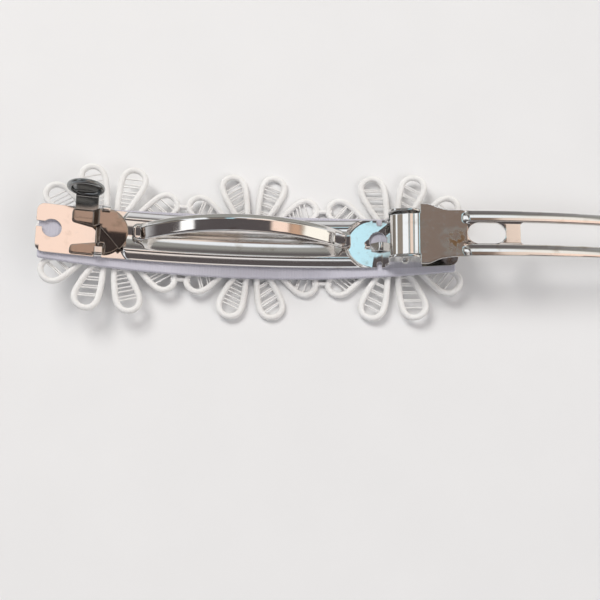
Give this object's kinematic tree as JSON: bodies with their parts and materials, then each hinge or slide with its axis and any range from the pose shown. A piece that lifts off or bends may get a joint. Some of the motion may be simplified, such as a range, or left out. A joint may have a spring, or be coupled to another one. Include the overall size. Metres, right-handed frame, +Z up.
{
  "type": "hair barrette",
  "caption": "Sprung steel hair clip with a hinged slotted arm, a bow spring and a thumb-released catch, faced with ribbon and a daisy lace trim; it gathers hair and holds it.",
  "frame": {"origin": "centre of the footprint of the open clip, at the level of the lace's lowest line, which it lies on", "axes": "X along the bar towards the hinge end, Y across the bar towards the thumb disc, Z up from the lace to the mechanism"},
  "size_m": [0.1196, 0.0286, 0.0153],
  "materials": {
    "base_bar": "polished nickel plate",
    "hinge_pin": "polished nickel plate",
    "clasp_arm": "polished nickel plate",
    "bow_spring": "polished nickel plate",
    "catch_plate": "polished nickel plate",
    "catch_slide": "polished nickel plate",
    "ribbon_backing": "smooth woven ribbon",
    "daisy_lace": "corded cotton lace"
  },
  "bodies": {
    "bar": {"base_bar": "base_bar", "hinge_pin": "hinge_pin", "bow_spring": "bow_spring", "catch_plate": "catch_plate", "ribbon_backing": "ribbon_backing", "daisy_lace": "daisy_lace"},
    "arm": {"clasp_arm": "clasp_arm"},
    "catch": {"catch_slide": "catch_slide"}
  },
  "joints": [
    {"name": "arm_hinge", "type": "hinge", "parent": "bar", "child": "arm", "pos_m": [0.00816, 0, 0.00792], "axis": [0, -1, 0], "range_deg": [0, 180.4], "deforming": ["bow_spring"]},
    {"name": "catch_slide", "type": "slide", "parent": "bar", "child": "catch", "axis": [-0.9677, 0, 0.252], "range_m": [0, 0.0012], "stiffness_N_per_m": 1000, "springref_m": -0.0005}
  ]
}
